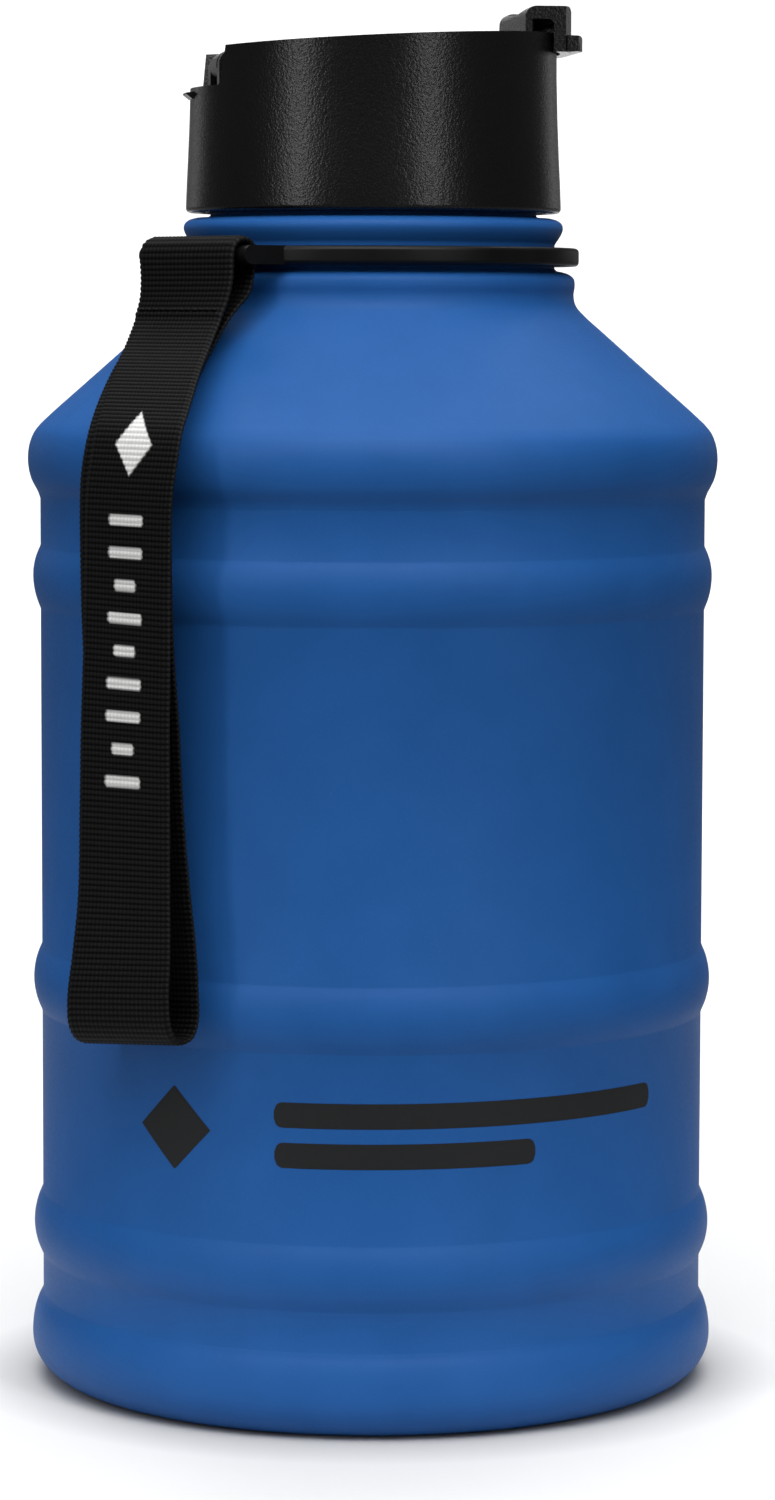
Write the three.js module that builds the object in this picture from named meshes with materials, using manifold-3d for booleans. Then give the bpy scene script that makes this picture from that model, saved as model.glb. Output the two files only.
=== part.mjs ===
// Large steel water jug with a screw cap, a flip lid over a spout, and a webbing strap on a neck ring.
// Millimetres, +Z up, origin at the centre of the foot, flip lid opening toward +X.
import * as THREE from "three";
import { mergeVertices } from "three/addons/utils/BufferGeometryUtils.js";
import Module from "manifold-3d";

const wasm = await Module();
wasm.setup();

// ---- driving dimensions ----
const GAP = 0.3; // clearance between pieces that touch
const WALL = 1.1; // steel wall of the jug
const BODY_SEGS = 48;
const CAP_SEGS = 48;

// Outside of the jug from the foot up to the mouth, as [radius, height].
const BODY_R = 60.3;
const FOOT_IN = 50;
const FOOT_OUT = 54;
const NECK_R = 29.45;
const NECK_BORE = 28.2;
const MOUTH_Z = 226.9;
const GROOVE_R = 32.8;
const GROOVE_LOW = 201.5;
const GROOVE_TOP = 206.4;
const BEAD_R = 34.3;
const BEAD_TOP = 210.9;

// Screw thread, two starts, right-handed.
const LEAD = 8;
const STARTS = 2;
const THREAD_DEG = 300;
const THREAD_Z = 214.6;
const THREAD_OUT = 30.85;
const THREAD_IN = 29.85;

// Screw cap.
const CAP_LOW = 211.8;
const CAP_R_LOW = 33.9;
const CAP_R_TOP = 33.0;
const CAP_BORE = 31.2;
const WELL_R = 30.6; // inside of the raised wall
const DECK_LOW = 229;
const DECK_TOP = 231.5;
const RIM_Z = 242.3;
const RIM_SLOPE = (2.8 * Math.PI) / 180;
const NOTCH_FLOOR = 234;

// Spout, and the plug that closes it.
const SPOUT_X = 8;
const SPOUT_R = 12.6;
const SPOUT_BORE = 10.3;
const SPOUT_TOP = 238;

// Flip lid.
const HINGE_X = -26.5;
const HINGE_Z = 238;
const PIN_R = 1.2;
const KNUCKLE_R = 2.6;
const LID_R = 30.1;
const LID_LOW = 239.8;
const LID_TOP = 242.4;
const ARM_LOW = 238.5; // underside of the arm to the hinge
const NOSE_HALF = 14.2;
const NOSE_IN = 33.6;
const NOSE_OUT = 35.6;
const TAB_R = 37.6;
const DIP = 1.2;
const DIP_R = 51;

// Neck ring with its strap bar.
const RING_LOW = 202.3;
const RING_TOP = 205.6;
const RING_IN = 33.3;
const RING_OUT = 37.2;
const BAR_RADIUS_AT = 41.6;
const BAR_R = 1.6;
const LUG_DEG = 214.6;
const SLOT_HALF = 12.7;
const ARM = 1.6;

// Strap: one webbing strip sewn into a loop.
const STRAP_WIDTH = 24.6;
const STRAP_T = 1.2;

// ---- helpers ----
const v2 = (x, y) => new THREE.Vector2(x, y);

// Closed triangle mesh as a solid; its faces are turned outward first.
function solid(geometry) {
  const g = geometry.clone();
  g.deleteAttribute("normal");
  g.deleteAttribute("uv");
  const m = mergeVertices(g, 1e-4);
  const p = m.attributes.position.array;
  const tri = Uint32Array.from(m.index.array);
  let volume = 0;
  const a = new THREE.Vector3();
  const b = new THREE.Vector3();
  const c = new THREE.Vector3();
  for (let i = 0; i < tri.length; i += 3) {
    a.fromArray(p, 3 * tri[i]);
    b.fromArray(p, 3 * tri[i + 1]);
    c.fromArray(p, 3 * tri[i + 2]);
    volume += a.dot(b.cross(c));
  }
  if (volume < 0) {
    for (let i = 0; i < tri.length; i += 3) {
      const t = tri[i + 1];
      tri[i + 1] = tri[i + 2];
      tri[i + 2] = t;
    }
  }
  const mesh = new wasm.Mesh({ numProp: 3, vertProperties: p, triVerts: tri });
  return new wasm.Manifold(mesh);
}

function geometryOf(s) {
  const m = s.getMesh();
  const g = new THREE.BufferGeometry();
  g.setAttribute("position", new THREE.BufferAttribute(Float32Array.from(m.vertProperties), 3));
  g.setIndex(new THREE.BufferAttribute(Uint32Array.from(m.triVerts), 1));
  const flat = g.toNonIndexed();
  flat.computeVertexNormals();
  return flat;
}

// A closed [radius, height] profile turned about the Z axis.
function turned(profile, segments) {
  const points = profile.map(([r, z]) => v2(r, z));
  points.push(points[0].clone());
  const g = new THREE.LatheGeometry(points, segments);
  g.rotateX(Math.PI / 2);
  return solid(g);
}

// A profile that starts and ends on the axis.
function turnedSolid(profile, segments) {
  const points = profile.map(([r, z]) => v2(r, z));
  const g = new THREE.LatheGeometry(points, segments);
  g.rotateX(Math.PI / 2);
  return solid(g);
}

function disc(r, z0, z1, segments = CAP_SEGS) {
  return turnedSolid([[0, z0], [r, z0], [r, z1], [0, z1]], segments);
}

function box(x0, x1, y0, y1, z0, z1) {
  const g = new THREE.BoxGeometry(x1 - x0, y1 - y0, z1 - z0);
  g.translate((x0 + x1) / 2, (y0 + y1) / 2, (z0 + z1) / 2);
  return solid(g);
}

// A cylinder lying along Y.
function rod(x, z, r, y0, y1, segments = 24) {
  const g = new THREE.CylinderGeometry(r, r, y1 - y0, segments);
  g.translate(x, (y0 + y1) / 2, z);
  return solid(g);
}

// An (x, z) outline carried along Y.
function slab(outline, y0, y1) {
  const g = new THREE.ExtrudeGeometry(new THREE.Shape(outline.map(([x, z]) => v2(x, z))), {
    depth: y1 - y0,
    bevelEnabled: false,
  });
  g.rotateX(Math.PI / 2);
  g.translate(0, y1, 0);
  return solid(g);
}

// Helical ridge whose crest fades out at both ends.
function ridge(rootR, crestR, zStart, startDeg, spanDeg) {
  const steps = Math.round(spanDeg / 15);
  const pos = [];
  const index = [];
  for (let i = 0; i <= steps; i++) {
    const t = i / steps;
    const a = ((startDeg + spanDeg * t) * Math.PI) / 180;
    const fade = Math.min(1, Math.min(t, 1 - t) * steps * 0.5 + 0.05);
    const crest = rootR + (crestR - rootR) * fade;
    const z = zStart + (LEAD * spanDeg * t) / 360;
    const section = [[rootR, z - 0.85], [rootR, z + 0.85], [crest, z + 0.4], [crest, z - 0.4]];
    for (const [r, h] of section) pos.push(r * Math.cos(a), r * Math.sin(a), h);
  }
  for (let i = 0; i < steps; i++) {
    for (let k = 0; k < 4; k++) {
      const a = 4 * i + k;
      const b = 4 * i + ((k + 1) % 4);
      index.push(a, b, b + 4, a, b + 4, a + 4);
    }
  }
  const e = 4 * steps;
  index.push(0, 2, 1, 0, 3, 2, e, e + 1, e + 2, e, e + 2, e + 3);
  const g = new THREE.BufferGeometry();
  g.setAttribute("position", new THREE.Float32BufferAttribute(pos, 3));
  g.setIndex(index);
  return solid(g);
}

// ---- jug ----
// One rolled ring on the outside wall: low edge, crest, high edge.
function rolledRing(low, crestZ, crestR, high) {
  const rows = [];
  const side = (from, to, up) => {
    for (let i = 1; i <= 2; i++) {
      const t = i / 2;
      const k = up ? t : 1 - t;
      rows.push([BODY_R + (crestR - BODY_R) * Math.sin((Math.PI / 2) * k), from + (to - from) * t]);
    }
  };
  rows.push([BODY_R, low]);
  side(low, crestZ, true);
  side(crestZ, high, false);
  return rows;
}

const OUTSIDE = [
  [FOOT_OUT, 0],
  [56.9, 0.8],
  [59.4, 2.5],
  [61.3, 4.9],
  [62.2, 7.6],
  [61.6, 11.4],
  [BODY_R, 15.2],
  ...rolledRing(21.8, 28.2, 61.85, 34.9),
  ...rolledRing(66.8, 73.1, 61.8, 79.4),
  ...rolledRing(140.3, 146.8, 61.65, 152.2),
  [BODY_R, 160.3],
  [62.0, 164.2],
  [62.55, 167.6],
  [62.1, 170.5],
  [60.7, 173.2],
  [57.8, 176.1],
  [51.2, 181.9],
  [41.55, 190.5],
  [37.4, 194.3],
  [36.4, 196.4],
  [36.5, 198.8],
  [35.9, 200.6],
  [34.6, 201.4],
  [GROOVE_R, GROOVE_LOW],
  [GROOVE_R, GROOVE_TOP],
  [33.6, 207.4],
  [BEAD_R, 209.1],
  [33.8, 210.2],
  [32.3, BEAD_TOP],
  [NECK_R, BEAD_TOP],
  [NECK_R, MOUTH_Z],
];

// Inside surface, from the mouth down to the foot flange.
const INSIDE = [
  [NECK_BORE, MOUTH_Z],
  [NECK_BORE, 199.5],
  [33.5, 195.5],
  [49.9, 181.4],
  [57.6, 174.4],
  [61.1, 168.6],
  [BODY_R - WALL, 160],
  [BODY_R - WALL, 152],
  [60.4, 146.5],
  [BODY_R - WALL, 140.5],
  [BODY_R - WALL, 79.4],
  [60.5, 73.1],
  [BODY_R - WALL, 66.8],
  [BODY_R - WALL, 34.9],
  [60.6, 28.3],
  [BODY_R - WALL, 21.8],
  [BODY_R - WALL, 14.6],
  [60.9, 8],
  [57.6, 2.9],
  [54, 1.2],
  [FOOT_IN + 1.2, 1.2],
  [FOOT_IN + 1.2, 4.6],
  [FOOT_IN, 4.6],
  [FOOT_IN, 0],
];

function bodyShell() {
  let s = turned([...OUTSIDE, ...INSIDE], BODY_SEGS);
  for (let k = 0; k < STARTS; k++) {
    s = s.add(ridge(NECK_R - 0.25, THREAD_OUT, THREAD_Z + 2, (360 / STARTS) * k, THREAD_DEG));
  }
  return s;
}

// Domed disc welded inside the foot flange.
function basePlate() {
  const r = FOOT_IN - GAP;
  return turnedSolid(
    [
      [0, 5.2],
      [34, 4.2],
      [45, 2.6],
      [r - 1.1, 2.6],
      [r - 1.1, 1.4],
      [r, 1.4],
      [r, 4.4],
      [r - 1.1, 4.9],
      [r - 1.1, 3.8],
      [45, 3.8],
      [34, 5.4],
      [0, 6.4],
    ],
    BODY_SEGS,
  );
}

// ---- cap ----
function capShell() {
  const wall = [
    [CAP_BORE, CAP_LOW + 0.3],
    [CAP_BORE + 0.4, CAP_LOW],
    [CAP_R_LOW - 0.8, CAP_LOW],
    [CAP_R_LOW, CAP_LOW + 0.9],
    [33.5, 221.5],
    [33.1, 232],
    [CAP_R_TOP, 246],
    [WELL_R, 246],
    [WELL_R, DECK_TOP],
    [0, DECK_TOP],
    [0, DECK_LOW],
    [CAP_BORE, DECK_LOW],
  ];
  const points = [...wall.slice(10), ...wall.slice(0, 10)];
  let s = turnedSolid(points, CAP_SEGS);
  s = s.add(turnedSolidAt(SPOUT_X, [
    [0, DECK_LOW + 0.5],
    [SPOUT_R + 0.9, DECK_LOW + 0.5],
    [SPOUT_R + 0.9, DECK_TOP + 0.1],
    [SPOUT_R, DECK_TOP + 1.2],
    [SPOUT_R - 0.2, SPOUT_TOP - 0.6],
    [SPOUT_R - 0.8, SPOUT_TOP],
    [0, SPOUT_TOP],
  ]));
  s = s.subtract(turnedSolidAt(SPOUT_X, [
    [0, DECK_LOW - 1],
    [SPOUT_BORE + 0.6, DECK_LOW - 1],
    [SPOUT_BORE, DECK_LOW + 0.6],
    [SPOUT_BORE, SPOUT_TOP - 0.5],
    [SPOUT_BORE + 0.5, SPOUT_TOP + 0.1],
    [SPOUT_BORE + 0.5, SPOUT_TOP + 1],
    [0, SPOUT_TOP + 1],
  ]));
  // sloping rim
  const dx = 50;
  const rise = dx * Math.tan(RIM_SLOPE);
  s = s.subtract(slab([[-dx, RIM_Z - rise], [dx, RIM_Z + rise], [dx, 260], [-dx, 260]], -50, 50));
  s = s.subtract(notch());
  // hinge lugs standing on the deck
  for (const side of [-1, 1]) {
    const y0 = side < 0 ? -9.2 : 5.6;
    const y1 = side < 0 ? -5.6 : 9.2;
    s = s.add(box(HINGE_X - 2.5, HINGE_X + 2.5, y0, y1, DECK_TOP - 0.5, HINGE_Z));
    s = s.add(rod(HINGE_X, HINGE_Z, 2.5, y0, y1));
  }
  s = s.subtract(rod(HINGE_X, HINGE_Z, PIN_R + 0.05, -7.9, 7.9));
  // thin ledge under the notch
  s = s.add(slab([[-34.3, 233.1], [-33.0, 233.3], [-31, 233.3], [-31, 232.0], [-33.2, 232.0]], -3, 3));
  for (let k = 0; k < STARTS; k++) {
    s = s.add(ridge(CAP_BORE + 0.25, THREAD_IN, THREAD_Z, (360 / STARTS) * k, THREAD_DEG));
  }
  return s;
}

function turnedSolidAt(x, profile) {
  return turnedSolid(profile, 48).translate([x, 0, 0]);
}

// Opening in the raised wall behind the hinge, wider at the top.
function notch() {
  const outline = [v2(-15, NOTCH_FLOOR), v2(15, NOTCH_FLOOR), v2(17.7, 247), v2(-17.7, 247)];
  const g = new THREE.ExtrudeGeometry(new THREE.Shape(outline), { depth: 18, bevelEnabled: false });
  g.rotateX(Math.PI / 2);
  g.rotateZ(Math.PI / 2);
  g.translate(-42, 0, 0);
  return solid(g);
}

function capGasket() {
  return turned(
    [[28, 227.2], [30.7, 227.2], [30.7, DECK_LOW - GAP], [28, DECK_LOW - GAP]],
    CAP_SEGS,
  );
}

// ---- flip lid ----
function flipLid() {
  const plate = disc(LID_R, LID_LOW, LID_TOP).intersect(box(-12, 40, -40, 40, 230, 250));
  let s = plate.add(box(-22.4, -10, -10.4, 10.4, ARM_LOW, LID_TOP));
  s = s.add(slab(
    [[-28.6, 239.2], [-25.6, 241], [-20, LID_TOP], [-20, ARM_LOW], [-24.2, 237.4], [-28, 237.4]],
    -5.2,
    5.2,
  ));
  // the top follows the sloping rim
  const dx = 50;
  const rise = dx * Math.tan(RIM_SLOPE);
  const top = RIM_Z - 0.7;
  s = s.subtract(slab([[-dx, top - rise], [dx, top + rise], [dx, 260], [-dx, 260]], -50, 50));
  s = s.add(rod(HINGE_X, HINGE_Z, KNUCKLE_R, -5.2, 5.2));
  s = s.subtract(rod(HINGE_X, HINGE_Z, PIN_R + 0.08, -6, 6));
  // arched nose over the rim, with a thumb dip across its top
  const arch = slab(
    [
      [25.3, LID_LOW],
      [25.3, 246.6],
      [25.9, 247.9],
      [27.2, 248.5],
      [33, 248.5],
      [34.7, 247.9],
      [35.6, 246.6],
      [40, 246],
      [40, 240.4],
      [30, 240.4],
      [30, LID_LOW],
    ],
    -NOSE_HALF,
    NOSE_HALF,
  );
  const dip = rod(0, 0, DIP_R, 20, 40, 96).rotate([0, 0, -90]).translate([0, 0, 248.5 - DIP + DIP_R]);
  const space = disc(NOSE_IN, 230, 246.2);
  const inside = space.intersect(box(27, 40, -20, 20, 230, 260)).add(space.subtract(disc(LID_R, 230, 246.2)));
  s = s.add(arch.intersect(disc(NOSE_OUT, 230, 260)).subtract(inside).subtract(dip));
  s = s.add(disc(LID_R, LID_LOW, LID_TOP).intersect(box(20, 40, -NOSE_HALF, NOSE_HALF, 230, 260)));
  const tab = slab([[33.6, 240.4], [36.4, 240.6], [40, 241.6], [40, 242.1], [36, 243.3], [33.6, 243.4]], -13.6, 13.6);
  s = s.add(tab.intersect(disc(TAB_R, 230, 260)).subtract(disc(NOSE_IN, 230, 260)));
  // blind socket for the plug's stud
  return s.subtract(disc(2.8, LID_LOW - 1, 241.3, 32).translate([SPOUT_X, 0, 0]));
}

function spoutPlug() {
  return turnedSolidAt(SPOUT_X, [
    [0, 235.2],
    [8.6, 235.2],
    [9.3, 235.8],
    [9.8, SPOUT_TOP + 0.3],
    [12, SPOUT_TOP + 0.3],
    [12, LID_LOW - GAP],
    [2.5, LID_LOW - GAP],
    [2.5, 241],
    [0, 241],
  ]);
}

function hingePin() {
  return rod(HINGE_X, HINGE_Z, PIN_R, -7.6, 7.6);
}

// ---- neck ring and strap ----
function inLugFrame(s) {
  return s.rotate([0, 0, LUG_DEG]);
}

function strapRing() {
  const c = 0.7;
  let s = turned(
    [
      [RING_IN, RING_LOW],
      [RING_OUT - c, RING_LOW],
      [RING_OUT, RING_LOW + c],
      [RING_OUT, RING_TOP - c],
      [RING_OUT - c, RING_TOP],
      [RING_IN, RING_TOP],
    ],
    CAP_SEGS,
  );
  const mid = (RING_LOW + RING_TOP) / 2;
  const bore = disc(RING_IN + 0.6, 195, 215);
  for (const side of [-1, 1]) {
    const y0 = side < 0 ? -SLOT_HALF - ARM : SLOT_HALF;
    const y1 = y0 + ARM;
    const arm = box(28, BAR_RADIUS_AT, y0, y1, RING_LOW, RING_TOP)
      .add(rod(BAR_RADIUS_AT, mid, (RING_TOP - RING_LOW) / 2, y0, y1));
    s = s.add(inLugFrame(arm.subtract(bore)));
  }
  return s.add(inLugFrame(rod(BAR_RADIUS_AT, mid, BAR_R, -SLOT_HALF - 1, SLOT_HALF + 1)));
}

// Centre line of the webbing in the frame of the ring's lug, once round the loop:
// [out from the axis, height, sideways shift, twist about the vertical, tilt of the width] in mm and degrees.
function strapPath() {
  const mid = (RING_LOW + RING_TOP) / 2;
  const turn = BAR_R + 0.35 + STRAP_T / 2;
  const rows = [];
  for (const deg of [180, 144, 108, 72, 36, 0]) {
    const a = (deg * Math.PI) / 180;
    rows.push([BAR_RADIUS_AT + turn * Math.cos(a), mid + turn * Math.sin(a), 0, 0, 0]);
  }
  // front leg, down from the bar
  rows.push([44.2, 199.6, 0, -1, 0], [44.7, 196, -0.2, -2.6, 0], [46.2, 192.6, -0.2, -3.6, 0]);
  rows.push([50, 188.3, 1.7, -4, 0], [54.8, 184, 4.5, -3.4, 0], [61.4, 177.4, 9, -3.2, 0]);
  rows.push([64.6, 173.6, 11, -3.4, 0], [66, 169.5, 11.6, -3.6, 0], [66.8, 163, 11.2, -3.8, 0]);
  rows.push([66.9, 150, 10.8, -4, 0], [67.3, 136, 11, -3.4, 0], [67.7, 123, 11, -2.6, 1]);
  rows.push([68.1, 109, 11.3, -1.8, 2], [68.9, 94, 12, -0.8, 3.4], [70.2, 84.5, 12.8, 2.3, 4.6]);
  // fold at the bottom of the loop
  rows.push([71.2, 76.5, 13.1, 4.6, 5], [70.8, 72, 13.1, 5, 5], [69.4, 69.7, 13, 5, 5]);
  rows.push([67.4, 69, 12.9, 5, 5], [65.4, 69.8, 12.8, 4.6, 5], [64.1, 72.4, 12.7, 4, 5]);
  // rear leg, back up the wall
  rows.push([63.8, 77, 12.6, 3, 4.6], [63.7, 85, 12.2, 1.4, 4], [63.7, 95, 11, 0, 3]);
  rows.push([63.7, 109, 9.4, -0.6, 2], [63.7, 124, 8.4, -1, 1], [63.75, 136, 7.2, -1, 0]);
  rows.push([63.75, 150, 6.6, -1, 0], [63.8, 165, 6.8, -1, 0], [63, 171, 7.2, -1, 0]);
  rows.push([59.8, 176, 5.4, -1, 0], [53.4, 182.4, 1.6, -2, 0], [47.6, 188, -0.6, -3, 0]);
  rows.push([44.4, 192.2, -0.6, -3.4, 0], [42.4, 194.8, -0.4, -2, 0], [40.5, 197.4, 0, 0, 0]);
  rows.push([39.6, 200.4, 0, 0, 0]);
  return rows;
}

function strap() {
  const rows = strapPath();
  const n = rows.length;
  const pos = [];
  const index = [];
  for (let i = 0; i < n; i++) {
    const [out, z, side, twist, tilt] = rows[i];
    const before = rows[(i + n - 1) % n];
    const after = rows[(i + 1) % n];
    const dr = after[0] - before[0];
    const dz = after[1] - before[1];
    const len = Math.hypot(dr, dz);
    const t = (twist * Math.PI) / 180;
    const rise = Math.sin((tilt * Math.PI) / 180);
    for (const [half, face] of [[-1, 1], [1, 1], [1, -1], [-1, -1]]) {
      const w = (half * STRAP_WIDTH) / 2;
      const h = (face * STRAP_T) / 2;
      const u = out - w * Math.sin(t) - (h * dz) / len;
      const v = side + w * Math.cos(t);
      pos.push(u, v, z + w * rise + (h * dr) / len);
    }
  }
  for (let i = 0; i < n; i++) {
    const j = (i + 1) % n;
    for (let k = 0; k < 4; k++) {
      const m = (k + 1) % 4;
      index.push(4 * i + k, 4 * j + m, 4 * i + m, 4 * i + k, 4 * j + k, 4 * j + m);
    }
  }
  const g = new THREE.BufferGeometry();
  g.setAttribute("position", new THREE.Float32BufferAttribute(pos, 3));
  g.setIndex(index);
  // rows of stitching that close the loop under the bar
  const sewn = box(43.2, 45.6, -10.4, 10.4, 193, 194.6);
  return solid(g).add(sewn).rotate([0, 0, LUG_DEG]);
}

// ---- assembly ----
const jug = new THREE.Group();
jug.name = "water_jug";

function piece(name, s, color, roughness, metalness) {
  const material = new THREE.MeshStandardMaterial({ color, roughness, metalness });
  const mesh = new THREE.Mesh(geometryOf(s), material);
  mesh.name = name;
  jug.add(mesh);
}

piece("body_shell", bodyShell(), 0x2f5f9e, 0.6, 0.1);
piece("base_plate", basePlate(), 0xb9bcc0, 0.35, 1.0);
piece("cap_shell", capShell(), 0x1b1b1c, 0.7, 0.0);
piece("cap_gasket", capGasket(), 0x8d9093, 0.8, 0.0);
piece("flip_lid", flipLid(), 0x1d1d1e, 0.7, 0.0);
piece("spout_plug", spoutPlug(), 0x8d9093, 0.8, 0.0);
piece("hinge_pin", hingePin(), 0xc2c4c6, 0.3, 1.0);
piece("strap_ring", strapRing(), 0x202022, 0.65, 0.0);
piece("strap", strap(), 0x262628, 0.95, 0.0);

export default jug;
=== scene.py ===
"""Looks of the large water jug: powder-coated ribbed steel, grained flip cap, neck ring and webbing strap.

Every piece is built in millimetres in the part's own frame and scaled to metres when its mesh is made.
"""

import math

import bmesh
import bpy
from mathutils import Matrix, Vector


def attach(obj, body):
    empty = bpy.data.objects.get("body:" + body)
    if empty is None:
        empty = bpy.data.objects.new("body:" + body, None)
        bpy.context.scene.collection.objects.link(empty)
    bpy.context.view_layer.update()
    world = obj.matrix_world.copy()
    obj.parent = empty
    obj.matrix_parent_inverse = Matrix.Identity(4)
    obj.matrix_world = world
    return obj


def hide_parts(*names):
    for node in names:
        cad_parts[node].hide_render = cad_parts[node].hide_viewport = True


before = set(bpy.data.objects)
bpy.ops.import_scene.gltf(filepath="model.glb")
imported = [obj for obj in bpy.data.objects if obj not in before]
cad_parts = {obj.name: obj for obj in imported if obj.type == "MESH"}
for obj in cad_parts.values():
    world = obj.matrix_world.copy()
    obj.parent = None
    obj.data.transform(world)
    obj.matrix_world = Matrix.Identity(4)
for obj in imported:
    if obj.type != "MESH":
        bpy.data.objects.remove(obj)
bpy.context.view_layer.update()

# ---------------------------------------------------------------- driving dimensions, in millimetres
MM = 0.001
BODY_R = 60.3
WALL = 1.1
FOOT_IN, FOOT_OUT = 50.0, 54.0
NECK_R, NECK_BORE, MOUTH_Z = 29.45, 28.2, 226.9
GROOVE_R, GROOVE_LOW, GROOVE_TOP = 32.8, 201.6, 206.4
BEAD_TOP = 210.9
RINGS = (  # low edge, crest height, crest radius and high edge of each rolled ring
    (22.4, 28.2, 61.87, 34.4),
    (67.2, 73.2, 61.80, 79.3),
    (140.4, 146.6, 61.66, 152.0),
)

LEAD, STARTS, THREAD_DEG, THREAD_Z = 8.0, 2, 300.0, 214.6
THREAD_OUT, THREAD_IN = 30.85, 29.85

CAP_LOW, CAP_BORE, WELL_R = 211.8, 31.2, 30.6
DECK_LOW, DECK_TOP = 229.0, 231.5
RIM_Z, RIM_SLOPE = 242.3, math.radians(2.8)
NOTCH_FLOOR = 234.0

SPOUT_X, SPOUT_R, SPOUT_BORE, SPOUT_TOP = 8.0, 12.6, 10.3, 238.0
HINGE_X, HINGE_Z, PIN_R, KNUCKLE_R, LUG_R = -26.5, 238.0, 1.2, 2.6, 2.5
LID_R, LID_LOW, LID_TOP, ARM_LOW = 30.1, 239.8, 242.4, 238.5
NOSE_HALF, NOSE_IN, NOSE_OUT, TAB_R = 14.2, 33.6, 35.6, 37.6
NOSE_TOP, DIP, DIP_R = 248.5, 1.2, 51.0
DIP_DEG = math.degrees(0.4)

RING_LOW, RING_TOP, RING_IN, RING_OUT = 202.3, 205.6, 33.3, 37.2
RING_MID = (RING_LOW + RING_TOP) / 2
BAR_AT, BAR_R, SLOT_HALF, ARM = 41.6, 1.6, 12.7, 1.6
LUG_DEG = 214.6

STRAP_WIDTH, STRAP_T = 24.6, 1.2
RIBS, PICK = 24, 0.48  # ribs across the webbing, and the length of one weft pick
YARN_RELIEF = 0.26  # depth of the gaps between the yarns
HEM_Z, HEM = 193.0, 0.25  # lower edge and extra thickness of the end sewn down over the front leg

PRINT_OUT, PRINT_IN = 0.04, 0.06  # how far the print stands out of the coat and reaches into it
DIAMOND, STRIPE_HALF = 7.4, 2.2  # half size of the printed diamond and half height of the stripes

# ---------------------------------------------------------------- mesh helpers


def new_object(name, mesh):
    obj = bpy.data.objects.new(name, mesh)
    bpy.context.scene.collection.objects.link(obj)
    return obj


def mesh_object(name, verts, faces, material_index=None):
    """An object from millimetre vertices, with its faces turned outward."""
    mesh = bpy.data.meshes.new(name)
    mesh.from_pydata([(x * MM, y * MM, z * MM) for x, y, z in verts], [], faces)
    if material_index is not None:
        mesh.polygons.foreach_set("material_index", material_index)
    bm = bmesh.new()
    bm.from_mesh(mesh)
    bmesh.ops.remove_doubles(bm, verts=bm.verts, dist=1e-7)
    bmesh.ops.recalc_face_normals(bm, faces=bm.faces)
    bm.to_mesh(mesh)
    bm.free()
    return new_object(name, mesh)


def spline(points, steps, closed=False):
    """Centripetal Catmull-Rom curve through points of any dimension, with steps pieces per span."""
    n = len(points)
    pts = [tuple(map(float, p)) for p in points]

    def at(i):
        if closed:
            return pts[i % n]
        if i < 0:
            return tuple(2 * a - b for a, b in zip(pts[0], pts[1]))
        if i >= n:
            return tuple(2 * a - b for a, b in zip(pts[-1], pts[-2]))
        return pts[i]

    def lerp(a, b, ta, tb, t):
        k = (t - ta) / (tb - ta)
        return tuple(x + (y - x) * k for x, y in zip(a, b))

    out = []
    for i in range(n if closed else n - 1):
        p = [at(i + k) for k in (-1, 0, 1, 2)]
        t = [0.0]
        for a, b in zip(p, p[1:]):
            t.append(t[-1] + max(math.dist(a, b), 1e-6) ** 0.5)
        for s in range(steps):
            u = t[1] + (t[2] - t[1]) * s / steps
            a1, a2, a3 = (lerp(p[k], p[k + 1], t[k], t[k + 1], u) for k in range(3))
            b1, b2 = lerp(a1, a2, t[0], t[2], u), lerp(a2, a3, t[1], t[3], u)
            out.append(lerp(b1, b2, t[1], t[2], u))
    if not closed:
        out.append(pts[-1])
    return out


def arc(cx, cz, r, start_deg, end_deg, steps):
    """Points of a circular arc in the profile plane."""
    angles = [math.radians(start_deg + (end_deg - start_deg) * i / steps) for i in range(steps + 1)]
    return [(cx + r * math.cos(a), cz + r * math.sin(a)) for a in angles]


def lathe(name, profile, segments, centre_x=0.0, slots=None):
    """A closed (radius, height) profile turned about a vertical axis.

    slots gives the material of each edge of the profile.
    """
    verts, faces, index = [], [], []
    n = len(profile)
    for s in range(segments):
        a = 2 * math.pi * s / segments
        c, d = math.cos(a), math.sin(a)
        verts += [(centre_x + r * c, r * d, z) for r, z in profile]
    for s in range(segments):
        t = (s + 1) % segments
        for k in range(n):
            m = (k + 1) % n
            if profile[k][0] < 1e-9 and profile[m][0] < 1e-9:
                continue
            quad = [s * n + k, s * n + m, t * n + m, t * n + k]
            if profile[k][0] < 1e-9:
                quad.pop(3)
            elif profile[m][0] < 1e-9:
                quad.pop(2)
            faces.append(quad)
            index.append(slots[k] if slots else 0)
    return mesh_object(name, verts, faces, index)


def prism(name, outline, low, high, axes="xz"):
    """An outline carried along its third axis: xz outlines run along Y, yz outlines along X."""
    n = len(outline)
    place = {
        "xz": lambda u, v, w: (u, w, v),
        "yz": lambda u, v, w: (w, u, v),
        "xy": lambda u, v, w: (u, v, w),
    }[axes]
    verts = [place(u, v, w) for w in (low, high) for u, v in outline]
    faces = [list(range(n)), list(range(n, 2 * n))[::-1]]
    faces += [[k, (k + 1) % n, n + (k + 1) % n, n + k] for k in range(n)]
    return mesh_object(name, verts, faces)


def block(name, x0, x1, y0, y1, z0, z1):
    return prism(name, [(x0, z0), (x1, z0), (x1, z1), (x0, z1)], y0, y1)


def rod(name, x, z, r, y0, y1, steps=48):
    return prism(name, arc(x, z, r, 0, 360, steps)[:-1], y0, y1)


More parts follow.
